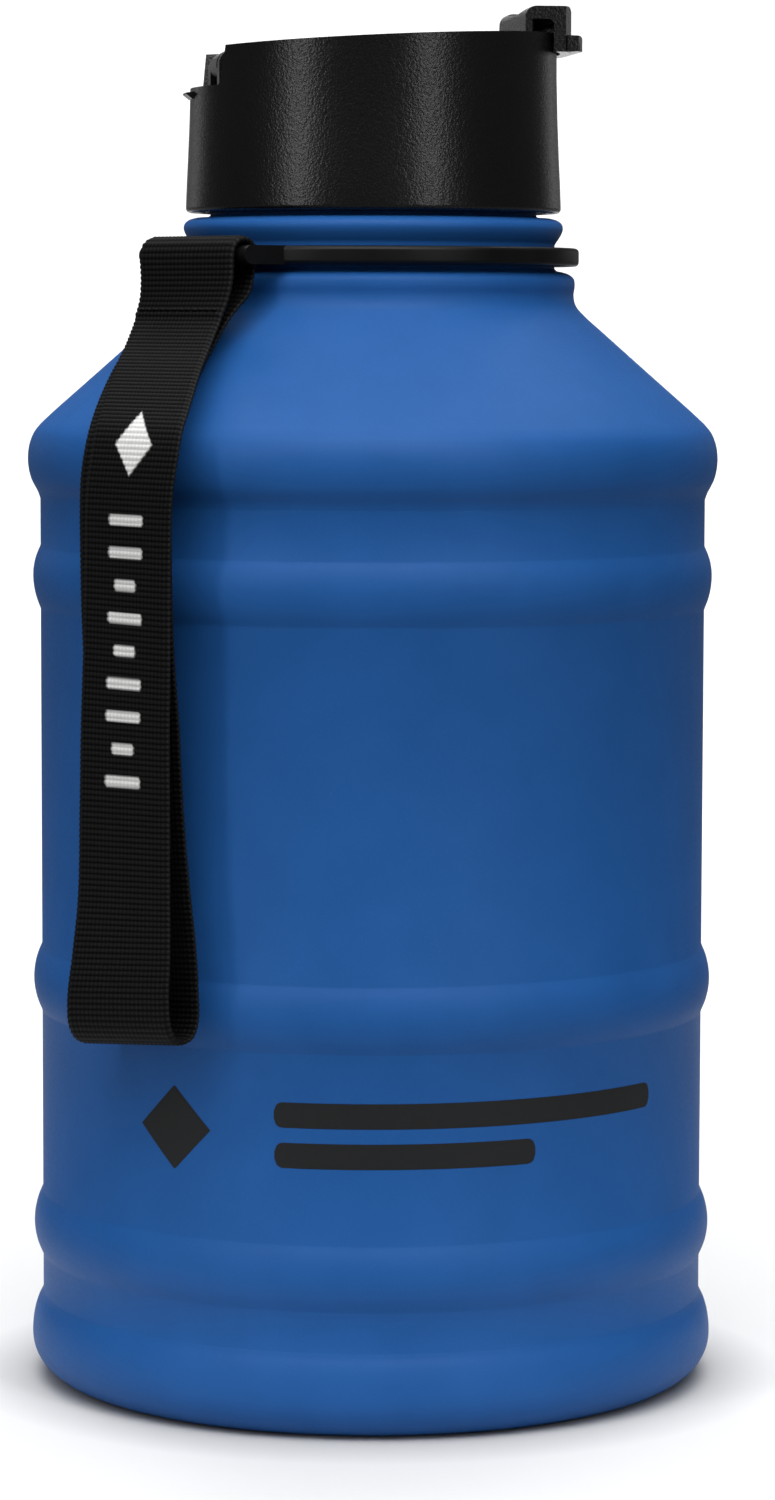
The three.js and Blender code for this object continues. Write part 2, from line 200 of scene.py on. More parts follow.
def applied(obj):
    """Turns the object's modifiers into its mesh."""
    graph = bpy.context.evaluated_depsgraph_get()
    mesh = bpy.data.meshes.new_from_object(obj.evaluated_get(graph))
    old = obj.data
    obj.modifiers.clear()
    obj.data = mesh
    bpy.data.meshes.remove(old)
    return obj


def combine(obj, other, operation):
    """Boolean of two solids; the second is used up."""
    mod = obj.modifiers.new("combine", "BOOLEAN")
    mod.object, mod.operation, mod.solver = other, operation, "MANIFOLD"
    applied(obj)
    bpy.data.objects.remove(other)
    return obj


def join(obj, other):
    return combine(obj, other, "UNION")


def cut(obj, other):
    return combine(obj, other, "DIFFERENCE")


def common(obj, other):
    return combine(obj, other, "INTERSECT")


def turned(obj, degrees):
    obj.data.transform(Matrix.Rotation(math.radians(degrees), 4, "Z"))
    return obj


def soften(obj, width, angle_deg=32, segments=3):
    """Rounds the sharp edges of a moulded piece."""
    mod = obj.modifiers.new("soften", "BEVEL")
    mod.width, mod.segments = width * MM, segments
    mod.limit_method, mod.angle_limit = "ANGLE", math.radians(angle_deg)
    mod.miter_outer = "MITER_ARC"
    mod.use_clamp_overlap = True
    return applied(obj)


def shade(obj, angle_deg=35, weighted=False):
    """Smooth shading with sharp edges past an angle.

    weighted keeps the flat faces of a moulded piece flat.
    """
    obj.data.shade_smooth()
    bm = bmesh.new()
    bm.from_mesh(obj.data)
    for e in bm.edges:
        e.smooth = len(e.link_faces) == 2 and e.calc_face_angle(0) < math.radians(angle_deg)
    bm.to_mesh(obj.data)
    bm.free()
    if weighted:
        mod = obj.modifiers.new("flat_faces", "WEIGHTED_NORMAL")
        mod.keep_sharp, mod.weight = True, 60
        applied(obj)
    return obj


def paint(obj, materials):
    """Gives the slots of a mesh these materials, filling the empty ones a boolean leaves."""
    slots = obj.data.materials
    for k, m in enumerate(materials):
        if k < len(slots):
            slots[k] = m
        else:
            slots.append(m)


def dress(obj, body, slot, *materials, stands_for=()):
    """Gives a piece its materials and its body, and hides the CAD parts it stands for."""
    paint(obj, materials)
    if stands_for:
        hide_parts(*stands_for)
    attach(obj, body)
    return obj


# ---------------------------------------------------------------- materials


class Nodes:
    """A material and short ways to add nodes to it."""

    def __init__(self, name, **sockets):
        self.material = bpy.data.materials.new(name)
        self.material.use_nodes = True
        self.tree = self.material.node_tree
        self.shader = self.tree.nodes["Principled BSDF"]
        for key, value in sockets.items():
            self.shader.inputs[key.replace("_", " ")].default_value = value

    def add(self, kind, **settings):
        node = self.tree.nodes.new("ShaderNode" + kind)
        for key, value in settings.items():
            setattr(node, key, value)
        return node

    def link(self, a, b):
        self.tree.links.new(a, b)

    def position(self, scale=(1.0, 1.0, 1.0)):
        coords = self.add("TexCoord")
        mapping = self.add("Mapping")
        mapping.inputs["Scale"].default_value = scale
        self.link(coords.outputs["Object"], mapping.inputs["Vector"])
        return mapping.outputs["Vector"]

    def noise(self, scale, detail=2.0, roughness=0.5, vector=None, stretch=(1.0, 1.0, 1.0)):
        node = self.add("TexNoise")
        node.inputs["Scale"].default_value = scale
        node.inputs["Detail"].default_value = detail
        node.inputs["Roughness"].default_value = roughness
        self.link(vector or self.position(stretch), node.inputs["Vector"])
        return node.outputs["Fac"]

    def ramp(self, fac, *stops):
        node = self.add("ValToRGB")
        ramp = node.color_ramp
        while len(ramp.elements) < len(stops):
            ramp.elements.new(0.5)
        for element, (place, colour) in zip(ramp.elements, stops):
            element.position = place
            element.color = (*colour, 1.0) if len(colour) == 3 else colour
        self.link(fac, node.inputs["Fac"])
        return node.outputs["Color"]

    def range(self, fac, low, high, start=0.0, end=1.0):
        node = self.add("MapRange")
        for key, value in (("From Min", start), ("From Max", end), ("To Min", low), ("To Max", high)):
            node.inputs[key].default_value = value
        self.link(fac, node.inputs["Value"])
        return node.outputs["Result"]

    def mix(self, fac, a, b, mode="MIX"):
        node = self.add("Mix", data_type="RGBA", blend_type=mode)
        for socket, value in ((node.inputs[0], fac), (node.inputs[6], a), (node.inputs[7], b)):
            if isinstance(value, bpy.types.NodeSocket):
                self.link(value, socket)
            elif isinstance(value, tuple):
                socket.default_value = (*value, 1.0)
            else:
                socket.default_value = value
        return node.outputs[2]

    def math(self, operation, a, b=0.0):
        node = self.add("Math", operation=operation)
        for socket, value in zip(node.inputs, (a, b)):
            if isinstance(value, bpy.types.NodeSocket):
                self.link(value, socket)
            else:
                socket.default_value = value
        return node.outputs["Value"]

    def bump(self, height, strength, distance_mm, below=None):
        node = self.add("Bump")
        node.inputs["Strength"].default_value = strength
        node.inputs["Distance"].default_value = distance_mm * MM
        self.link(height, node.inputs["Height"])
        if below is not None:
            self.link(below, node.inputs["Normal"])
        return node.outputs["Normal"]

    def height_over_foot(self):
        """Height in metres."""
        split = self.add("SeparateXYZ")
        self.link(self.position(), split.inputs["Vector"])
        return split.outputs["Z"]

    def to(self, **sockets):
        for key, value in sockets.items():
            self.link(value, self.shader.inputs[key.replace("_", " ")])
        return self


def powder_coat():
    m = Nodes("powder_coat", IOR=1.4, Specular_IOR_Level=0.22)
    mottle = m.noise(90, 3, 0.55)
    fleck = m.noise(2600, 1, 0.5)
    tone = m.ramp(mottle, (0.25, (0.0115, 0.083, 0.286)), (0.75, (0.0140, 0.093, 0.318)))
    tone = m.mix(m.range(fleck, 0.0, 0.22, 0.55, 0.8), tone, (0.022, 0.125, 0.380))
    scuff = m.range(m.noise(240, 4, 0.7, stretch=(1, 1, 0.35)), 0.0, 1.0, 0.70, 0.82)
    height = m.range(m.height_over_foot(), 1.0, 0.0, 0.004, 0.016)
    wear = m.math("MULTIPLY", m.math("MULTIPLY", scuff, height), 0.35)
    tone = m.mix(wear, tone, (0.10, 0.20, 0.42))
    grain = m.noise(2100, 2, 0.55)
    peel = m.noise(520, 1, 0.5)
    normal = m.bump(peel, 0.10, 0.10)
    normal = m.bump(grain, 0.22, 0.06, normal)
    return m.to(Base_Color=tone, Roughness=m.range(grain, 0.48, 0.60, 0.3, 0.7), Normal=normal).material


def brushed_steel(name="bare_steel", tint=(0.60, 0.60, 0.585)):
    m = Nodes(name, Metallic=1.0, Anisotropic=0.35)
    streak = m.noise(900, 3, 0.6, stretch=(0.12, 0.12, 3.0))
    cloud = m.noise(60, 2, 0.5)
    tone = m.mix(m.range(streak, 0.0, 0.5), tint, tuple(c * 0.78 for c in tint))
    rough = m.math("ADD", m.range(streak, 0.24, 0.36), m.range(cloud, 0.0, 0.08))
    return m.to(Base_Color=tone, Roughness=rough, Normal=m.bump(streak, 0.12, 0.03)).material


def grained_plastic():
    """Spark-eroded black polypropylene: a leathery grain about a third of a millimetre across."""
    m = Nodes("grained_plastic", IOR=1.45)
    cells = m.add("TexVoronoi", feature="SMOOTH_F1")
    cells.inputs["Scale"].default_value = 2400
    cells.inputs["Smoothness"].default_value = 0.5
    m.link(m.position(), cells.inputs["Vector"])
    lumps = m.noise(1500, 3, 0.65)
    grit = m.noise(4200, 2, 0.6)
    blotch = m.noise(70, 2, 0.5)
    tone = m.ramp(blotch, (0.3, (0.0026, 0.0026, 0.0027)), (0.7, (0.0034, 0.0034, 0.0035)))
    normal = m.bump(lumps, 0.5, 0.11)
    normal = m.bump(cells.outputs["Distance"], 0.45, 0.06, normal)
    normal = m.bump(grit, 0.3, 0.04, normal)
    return m.to(Base_Color=tone, Roughness=m.range(grit, 0.22, 0.31, 0.3, 0.7), Normal=normal).material


def smooth_plastic():
    m = Nodes("smooth_plastic", IOR=1.45, Specular_IOR_Level=0.25)
    cloud = m.noise(130, 3, 0.6)
    tone = m.ramp(cloud, (0.3, (0.0026, 0.0026, 0.0027)), (0.7, (0.0036, 0.0036, 0.0037)))
    fine = m.noise(1700, 2, 0.5)
    rough = m.range(cloud, 0.36, 0.48, 0.3, 0.7)
    return m.to(Base_Color=tone, Roughness=rough, Normal=m.bump(fine, 0.12, 0.03)).material


def silicone():
    m = Nodes("silicone", IOR=1.41, Subsurface_Weight=0.15, Subsurface_Scale=0.002)
    dust = m.noise(1500, 3, 0.6)
    tone = m.ramp(dust, (0.35, (0.066, 0.070, 0.073)), (0.75, (0.095, 0.099, 0.103)))
    rough = m.range(dust, 0.42, 0.60, 0.3, 0.7)
    return m.to(Base_Color=tone, Roughness=rough, Normal=m.bump(dust, 0.1, 0.03)).material


def webbing():
    """Black polyester yarn, with shade painted into the gaps between the yarns.

    The strap's UV map is in millimetres, across the width in U and along the length in V.
    """
    m = Nodes("webbing", IOR=1.45, Specular_IOR_Level=0.12)
    uv = m.add("UVMap", uv_map="strip")
    fibres = m.add("Mapping")
    fibres.inputs["Scale"].default_value = (22.0, 3.2, 1.0)
    m.link(uv.outputs["UV"], fibres.inputs["Vector"])
    strands = m.noise(1.0, 2, 0.6, vector=fibres.outputs["Vector"])
    relief = m.add("Attribute", attribute_name="relief")
    ink = m.add("Attribute", attribute_name="ink")
    fade = m.noise(55, 3, 0.6)
    yarn = m.ramp(strands, (0.3, (0.0085, 0.0085, 0.0087)), (0.75, (0.0210, 0.0210, 0.0215)))
    yarn = m.mix(m.range(fade, 0.0, 0.25), yarn, (0.019, 0.019, 0.0195))
    # painted shade: the colour goes to near black in the gaps between the yarns, following the relief
    # attribute, and the white print is painted greyer there too
    tone = m.mix(m.range(relief.outputs["Fac"], 0.0, 1.0, 0.35, 0.95), (0.0003, 0.0003, 0.0003), yarn)
    print_tone = m.mix(relief.outputs["Fac"], (0.60, 0.60, 0.59), (0.90, 0.90, 0.89))
    tone = m.mix(ink.outputs["Fac"], tone, print_tone)
    rough = m.range(strands, 0.55, 0.78, 0.3, 0.7)
    return m.to(Base_Color=tone, Roughness=rough, Normal=m.bump(strands, 0.45, 0.05)).material


def print_ink():
    m = Nodes("print_ink", IOR=1.45, Specular_IOR_Level=0.3)
    grain = m.noise(2100, 2, 0.55)
    tone = m.ramp(grain, (0.3, (0.0085, 0.0092, 0.0100)), (0.7, (0.0115, 0.0122, 0.0132)))
    rough = m.range(grain, 0.5, 0.62, 0.3, 0.7)
    return m.to(Base_Color=tone, Roughness=rough, Normal=m.bump(grain, 0.2, 0.05)).material


def thread():
    m = Nodes("sewing_thread", IOR=1.45, Specular_IOR_Level=0.15)
    twist = m.noise(2600, 2, 0.6, stretch=(1, 1, 0.4))
    tone = m.ramp(twist, (0.3, (0.004, 0.004, 0.0042)), (0.7, (0.011, 0.011, 0.0115)))
    rough = m.range(twist, 0.45, 0.7)
    return m.to(Base_Color=tone, Roughness=rough, Normal=m.bump(twist, 0.4, 0.04)).material


BLUE, STEEL, GRAIN = powder_coat(), brushed_steel(), grained_plastic()
SMOOTH, SILICONE, WEBBING, THREAD = smooth_plastic(), silicone(), webbing(), thread()
INK = print_ink()

# ---------------------------------------------------------------- jug


def rolled_ring(low, crest_z, crest_r, high, steps=14):
    """A rolled ring: a shallow arch on the wall, with small fillets where it meets the wall."""
    rows = []
    for i in range(-steps, steps + 1):
        u = i / steps
        z = crest_z + u * ((crest_z - low) if u < 0 else (high - crest_z))
        lift = (1 - u * u) * (1 - 0.35 * abs(u) ** 7)
        rows.append((BODY_R + (crest_r - BODY_R) * lift, z))
    return rows


def outside_profile():
    foot = [(FOOT_OUT, 0), (56.6, 0.35), (58.9, 1.45), (60.8, 3.2), (61.95, 5.4), (62.28, 7.8)]
    foot += [(61.98, 11.0), (61.35, 13.2), (60.62, 14.7), (BODY_R, 15.6)]
    shoulder = [(BODY_R, 160.4), (60.72, 161.6), (61.35, 162.8), (61.88, 163.9)]
    shoulder += [(62.30, 165.4), (62.52, 167.2), (62.42, 169.2), (62.02, 170.9)]
    shoulder += [(61.35, 172.4), (60.3, 173.75), (58.85, 175.15), (57.1, 176.75)]
    cone = [(51.2, 181.95), (41.55, 190.5)]
    neck = [(38.2, 193.5), (36.75, 195.2), (36.28, 197.0), (36.5, 198.9)]
    neck += [(36.3, 200.1), (35.4, 200.9), (34.2, 201.3)]
    bead = [(33.0, 206.5), (33.55, 207.3), (34.1, 208.3), (34.3, 209.15)]
    bead += [(34.05, 209.95), (33.3, 210.55), (32.1, BEAD_TOP)]
    rows = spline(foot, 5)
    for ring in RINGS:
        rows += rolled_ring(*ring)
    rows += spline(shoulder + cone + neck, 5)
    rows += [(GROOVE_R + 0.4, GROOVE_LOW - 0.1), (GROOVE_R, GROOVE_LOW + 0.3), (GROOVE_R, GROOVE_TOP - 0.3)]
    rows += spline(bead, 4)
    return rows


def inside_profile():
    """Inside of the wall, in four stretches: the rings, the shoulder, the cone and the foot."""
    inner = [(r - WALL, z) for ring in RINGS for r, z in rolled_ring(*ring)]
    shoulder = spline([(BODY_R - WALL, 159.8), (60.6, 163.8), (61.2, 167.6), (60.4, 171.5), (56.6, 175.6)], 5)
    cone = spline([(49.9, 181.4), (33.5, 195.6), (29.4, 199.3), (NECK_BORE, 201.5)], 5)
    low = spline([(BODY_R - WALL, 14.6), (60.9, 8), (59.6, 4.6), (57.2, 2.4), (54, 1.3)], 4)
    return (inner, shoulder, cone, low)


def jug_body():
    inner, shoulder, cone, low = inside_profile()
    outside = outside_profile()
    neck = [(NECK_R + 1.2, BEAD_TOP), (NECK_R + 0.35, BEAD_TOP + 0.1), (NECK_R, BEAD_TOP + 0.5)]
    neck += [(NECK_R, BEAD_TOP + 2.2), (NECK_R, MOUTH_Z - 0.7)]
    neck += arc(NECK_R - 0.625, MOUTH_Z - 0.65, 0.6, 0, 180, 8)
    inside = list(reversed(cone)) + list(reversed(shoulder)) + list(reversed(inner)) + low
    flange = [(FOOT_IN + 1.6, 1.3), (FOOT_IN + 1.2, 1.7), (FOOT_IN + 1.2, 4.4), (FOOT_IN + 0.6, 4.7)]
    flange += [(FOOT_IN, 4.4), (FOOT_IN, 0.5), (FOOT_IN + 0.5, 0)]
    profile = outside + neck + inside + flange
    painted = len(outside) + 4  # the coat runs up to just below the thread
    slots = [0 if k < painted else 1 for k in range(len(profile))]
    slots[-6:] = [0] * 6
    body = lathe("jug_body", profile, 192, slots=slots)
    paint(body, (BLUE, STEEL))
    for start in range(STARTS):
        join(body, thread_ridge(NECK_R - 0.25, THREAD_OUT, THREAD_Z + 2, 360 / STARTS * start, (BLUE, STEEL)))
    shade(body, 40)
    return dress(body, "jug", "painted_steel", BLUE, STEEL, stands_for=["body_shell"])


def body_print():
    """Thin dark print low on the wall: a diamond and two plain stripes."""
    outline = outside_profile()

    verts, faces = [], []

    def radius_at(z):
        for (r0, z0), (r1, z1) in zip(outline, outline[1:]):
            if min(z0, z1) <= z <= max(z0, z1) and abs(z1 - z0) > 1e-6 and r0 > 55:
                return r0 + (r1 - r0) * (z - z0) / (z1 - z0)
        return BODY_R

    def patch(middle_deg, middle_z, half_arc, half_height_at):
        """A closed skin on the wall, as tall at each place along its arc as half_height_at says."""
        columns = max(24, round(half_arc * 5))
        first = len(verts)
        for i in range(columns + 1):
            u = half_arc * (2 * i / columns - 1)
            a = math.radians(VIEW_AZIMUTH + middle_deg - 90) + u / BODY_R
            h = max(half_height_at(u), 0.02)
            for lift in (PRINT_OUT, -PRINT_IN):
                for z in (middle_z + h, middle_z, middle_z - h):
                    r = radius_at(z) + lift
                    verts.append((r * math.cos(a), r * math.sin(a), z))
        for i in range(columns):
            b, c = first + 6 * i, first + 6 * (i + 1)
            ring = (0, 1, 2, 5, 4, 3)
            for near, far in zip(ring, ring[1:] + ring[:1]):
                faces.append([b + near, b + far, c + far, c + near])
        for e in (first, first + 6 * columns):
            faces.append([e, e + 1, e + 2, e + 5, e + 4, e + 3])

    def rounded(half_arc, half_height, corner=1.6):
        def height(u):
            over = max(0.0, abs(u) - half_arc + corner)
            return half_height - corner + math.sqrt(max(corner * corner - over * over, 0.0))
        return height

    patch(-34.5, 53.2, DIAMOND, lambda u: DIAMOND - abs(u))
    for middle_deg, middle_z, half_arc in ((19.0, 56.8, 37.0), (6.0, 49.8, 23.2)):
        patch(middle_deg, middle_z, half_arc, rounded(half_arc, STRIPE_HALF))
    ink = mesh_object("body_print", verts, faces)
    shade(ink, 30)
    return dress(ink, "jug", None, INK)


def thread_ridge(root_r, crest_r, z_start, start_deg, materials=(), steps=100):
    """Helical ridge with a rounded crest that fades out at both ends, in the last of the materials."""
    verts, faces = [], []
    half = 0.85
    for i in range(steps + 1):
        t = i / steps
        a = math.radians(start_deg + THREAD_DEG * t)
        fade = min(1.0, min(t, 1 - t) * 14 + 0.05)
        rise = (crest_r - root_r) * (fade * fade * (3 - 2 * fade))
        z = z_start + LEAD * THREAD_DEG * t / 360
        section = [(0, half), (0.62, 0.62 * half), (0.93, 0.36 * half), (1, 0), (0.93, -0.36 * half)]
        section += [(0.62, -0.62 * half), (0, -half)]
        for k, h in section:
            r = root_r + rise * k
            verts.append((r * math.cos(a), r * math.sin(a), z + h))
    n = 7
    for i in range(steps):
        for k in range(n):
            m = (k + 1) % n
            faces.append([n * i + k, n * i + m, n * (i + 1) + m, n * (i + 1) + k])
    faces += [list(range(n)), list(range(n * steps, n * steps + n))[::-1]]
    obj = mesh_object("thread_ridge", verts, faces, [max(0, len(materials) - 1)] * len(faces))
    paint(obj, materials)
    return obj


def base_disc():
    """Domed base disc with two pressed rings."""
    r = FOOT_IN - 0.3
    top = spline([(0, 6.4), (14, 6.3), (20, 6.7), (24, 6.0), (34, 5.3), (40, 4.9), (45, 3.9), (48.0, 4.4)], 6)
    under = [(48.0, 3.3), (45, 2.8), (40, 3.8), (34, 4.2), (24, 4.9), (20, 5.6), (14, 5.2), (0, 5.3)]
    under = spline(under, 6)
    lip = [(r - 0.5, 4.8), (r, 4.3), (r, 1.9), (r - 0.5, 1.5), (r - 1.1, 1.9)]
    disc = lathe("base_disc", top + lip + under, 160)
    shade(disc, 50)
    return dress(disc, "jug", "bare_steel", STEEL, stands_for=["base_plate"])


# ---------------------------------------------------------------- cap


def cap_body():
    wall = [(CAP_BORE, CAP_LOW + 0.5), (CAP_BORE + 0.5, CAP_LOW)]
    wall += arc(33.0, CAP_LOW + 0.9, 0.9, -90, 0, 6)
    wall += [(33.72, 217.2), (33.5, 221.5), (33.2, 228.7), (33.02, 236.0), (32.98, 247.0)]
    wall += [(WELL_R, 247.0), (WELL_R, DECK_TOP + 1.0)]
    wall += [(WELL_R - 0.3, DECK_TOP + 0.3), (WELL_R - 1.0, DECK_TOP)]
    deck = [(0, DECK_TOP), (0, DECK_LOW), (CAP_BORE, DECK_LOW)]
    cap = lathe("cap_body", wall + deck, 160)
    spout = [(0, DECK_LOW + 0.6), (SPOUT_R + 0.9, DECK_LOW + 0.6), (SPOUT_R + 0.9, DECK_TOP + 0.2)]
    spout += arc(SPOUT_R + 0.9, DECK_TOP + 1.1, 0.9, -90, -180, 5)
    spout += [(SPOUT_R - 0.2, SPOUT_TOP - 0.8)]
    spout += arc(SPOUT_R - 0.9, SPOUT_TOP - 0.7, 0.7, 0, 90, 5)
    spout += [(0, SPOUT_TOP)]
    join(cap, lathe("spout", spout, 96, SPOUT_X))
    bore = [(0, DECK_LOW - 1), (SPOUT_BORE + 0.6, DECK_LOW - 1), (SPOUT_BORE, DECK_LOW + 0.6)]
    bore += arc(SPOUT_BORE + 0.5, SPOUT_TOP - 0.5, 0.5, 180, 90, 5)
    bore += [(SPOUT_BORE + 0.5, SPOUT_TOP + 1), (0, SPOUT_TOP + 1)]
    cut(cap, lathe("bore", bore, 96, SPOUT_X))
    rise = 50 * math.tan(RIM_SLOPE)
    cut(cap, prism("above_rim", [(-50, RIM_Z - rise), (50, RIM_Z + rise), (50, 262), (-50, 262)], -50, 50))
    notch = [(-15.1, NOTCH_FLOOR + 0.8), (-14.4, NOTCH_FLOOR), (14.4, NOTCH_FLOOR)]
    notch += [(15.1, NOTCH_FLOOR + 0.8), (17.7, 247.5), (-17.7, 247.5)]
    cut(cap, prism("notch", notch, -42, -24, "yz"))
    for side in (-1, 1):
        y0, y1 = sorted((side * 5.6, side * 9.2))
        lug = [(HINGE_X - LUG_R, DECK_TOP - 0.5), (HINGE_X + LUG_R, DECK_TOP - 0.5)]
        lug += arc(HINGE_X, HINGE_Z, LUG_R, 0, 180, 24)
        join(cap, prism("lug", lug, y0, y1))
    cut(cap, rod("pin_hole", HINGE_X, HINGE_Z, PIN_R + 0.05, -7.9, 7.9))
    ledge = [(-34.3, 233.1), (-33.0, 233.3), (-31, 233.3), (-31, 232.0), (-33.2, 232.0), (-34.2, 232.8)]
    join(cap, prism("ledge", ledge, -3, 3))
    soften(cap, 0.3)
    for start in range(STARTS):
        join(cap, thread_ridge(CAP_BORE + 0.25, THREAD_IN, THREAD_Z, 360 / STARTS * start))
    shade(cap, 30, weighted=True)
    return dress(cap, "cap", "grained_plastic", GRAIN, stands_for=["cap_shell"])


def gasket():
    profile = arc(30.3, 227.7, 0.4, -90, 0, 4) + arc(30.3, 228.3, 0.4, 0, 90, 4)
    profile += arc(28.4, 228.3, 0.4, 90, 180, 4) + arc(28.4, 227.7, 0.4, 180, 270, 4)
    ring = lathe("cap_seal", profile, 128)
    shade(ring, 50)
    return dress(ring, "cap_carrier", "silicone", SILICONE, stands_for=["cap_gasket"])


# ---------------------------------------------------------------- flip lid


def flip_lid():
    cover = [(0, LID_LOW), (LID_R, LID_LOW), (LID_R, LID_TOP - 0.5), (LID_R - 0.5, LID_TOP), (0, LID_TOP)]
    plate = lathe("flip_cover", cover, 160)
    common(plate, block("front", -12, 40, -40, 40, 230, 250))
    join(plate, block("arm", -22.4, -10, -10.4, 10.4, ARM_LOW, LID_TOP))
    root = [(-28.6, 239.2), (-25.6, 241), (-20, LID_TOP), (-20, ARM_LOW), (-24.2, 237.4), (-28, 237.4)]
    join(plate, prism("root", root, -5.2, 5.2))
    rise, top = 50 * math.tan(RIM_SLOPE), RIM_Z - 0.7  # the top follows the sloping rim
    cut(plate, prism("above_lid", [(-50, top - rise), (50, top + rise), (50, 262), (-50, 262)], -50, 50))
    join(plate, rod("knuckle", HINGE_X, HINGE_Z, KNUCKLE_R, -5.2, 5.2))
    cut(plate, rod("pin_hole", HINGE_X, HINGE_Z, PIN_R + 0.08, -6, 6))
    arch = [(25.3, LID_LOW)] + arc(27.3, 246.5, 2.0, 180, 90, 8) + arc(33.5, 246.4, 2.1, 90, 12, 8)
    arch += [(40, 246.4), (40, 240.4), (30, 240.4), (30, LID_LOW)]
    nose = prism("nose", arch, -NOSE_HALF, NOSE_HALF)
    common(nose, lathe("nose_limit", [(0, 230), (NOSE_OUT, 230), (NOSE_OUT, 260), (0, 260)], 160))
    space = [(0, 230), (NOSE_IN, 230), (NOSE_IN, 245.5), (NOSE_IN - 0.7, 246.2), (0, 246.2)]
    space = lathe("rim_space", space, 160)
    under = lathe("under_arch", [(0, 229), (LID_R, 229), (LID_R, 247), (0, 247)], 160)
    common(under, block("inner_part", 20, 27, -20, 20, 228, 260))
    cut(space, under)
    common(space, block("outer_part", 20, 40, -20, 20, 228, 260))
    cut(nose, space)
    dip = arc(0, NOSE_TOP - DIP + DIP_R, DIP_R, 270 - DIP_DEG, 270 + DIP_DEG, 32)
    cut(nose, prism("dip", dip, 20, 40, "yz"))
    join(plate, nose)
    under_nose = lathe("under_nose", [(0, LID_LOW), (LID_R, LID_LOW), (LID_R, LID_TOP), (0, LID_TOP)], 160)
    common(under_nose, block("nose_part", 20, 40, -NOSE_HALF, NOSE_HALF, 230, 260))
    join(plate, under_nose)
    tab = [(33.0, 240.4), (36.4, 240.6), (40, 241.6), (40, 242.1), (36, 243.3), (33.0, 243.4)]
    tab = prism("tab", tab, -13.6, 13.6)
    common(tab, lathe("tab_limit", [(0, 230), (TAB_R, 230), (TAB_R, 260), (0, 260)], 160))
    cut(tab, lathe("tab_inside", [(0, 230), (NOSE_IN, 230), (NOSE_IN, 260), (0, 260)], 160))
    join(plate, tab)
    cut(plate, lathe("socket", [(0, LID_LOW - 1), (2.8, LID_LOW - 1), (2.8, 241.3), (0, 241.3)], 48, SPOUT_X))
    soften(plate, 0.35)
    shade(plate, 30, weighted=True)
    return dress(plate, "flip", "lid_plastic", GRAIN, stands_for=["flip_lid"])


def plug():
    profile = [(0, 235.2), (8.2, 235.2)] + arc(8.2, 235.9, 0.7, -90, -10, 4)
    profile += [(9.35, 236.6), (9.2, 237.0), (9.75, 238.1), (10.2, SPOUT_TOP + 0.3), (11.6, SPOUT_TOP + 0.3)]
    profile += arc(11.6, SPOUT_TOP + 0.7, 0.4, -90, 90, 6)[1:]
    profile += [(2.5, LID_LOW - 0.3), (2.5, 240.7), (2.2, 241), (0, 241)]
    seal = lathe("plug_seal", profile, 96, SPOUT_X)
    shade(seal, 50)
    return dress(seal, "flip", "silicone", SILICONE, stands_for=["spout_plug"])


def pin():
    wire = rod("hinge_wire", HINGE_X, HINGE_Z, PIN_R, -7.6, 7.6, 40)
    soften(wire, 0.25, 60)
    shade(wire, 40)
    return dress(wire, "cap", "pin_steel", STEEL, stands_for=["hinge_pin"])


# ---------------------------------------------------------------- neck ring


def neck_ring():
    c = 0.8
    profile = arc(RING_OUT - c, RING_LOW + c, c, -90, 0, 5) + arc(RING_OUT - c, RING_TOP - c, c, 0, 90, 5)
    profile += arc(RING_IN + 0.5, RING_TOP - 0.5, 0.5, 90, 180, 4)
    profile += arc(RING_IN + 0.5, RING_LOW + 0.5, 0.5, 180, 270, 4)
    ring = lathe("neck_ring", profile, 192)
    for side in (-1, 1):
        y0, y1 = sorted((side * SLOT_HALF, side * (SLOT_HALF + ARM)))
        outline = [(30, RING_LOW), (BAR_AT, RING_LOW)]
        outline += arc(BAR_AT, RING_MID, (RING_TOP - RING_LOW) / 2, -90, 90, 12)[1:] + [(30, RING_TOP)]
        arm = prism("arm", outline, y0, y1)
        cut(arm, lathe("neck_space", [(0, 195), (RING_IN + 0.6, 195), (RING_IN + 0.6, 215), (0, 215)], 96))
        join(ring, turned(arm, LUG_DEG))
    bar = rod("bar", BAR_AT, RING_MID, BAR_R, -SLOT_HALF - 1, SLOT_HALF + 1, 32)
    join(ring, turned(bar, LUG_DEG))
    soften(ring, 0.7, 40, 4)
    shade(ring, 35, weighted=True)
    return dress(ring, "ring", "ring_plastic", SMOOTH, stands_for=["strap_ring"])


# ---------------------------------------------------------------- strap


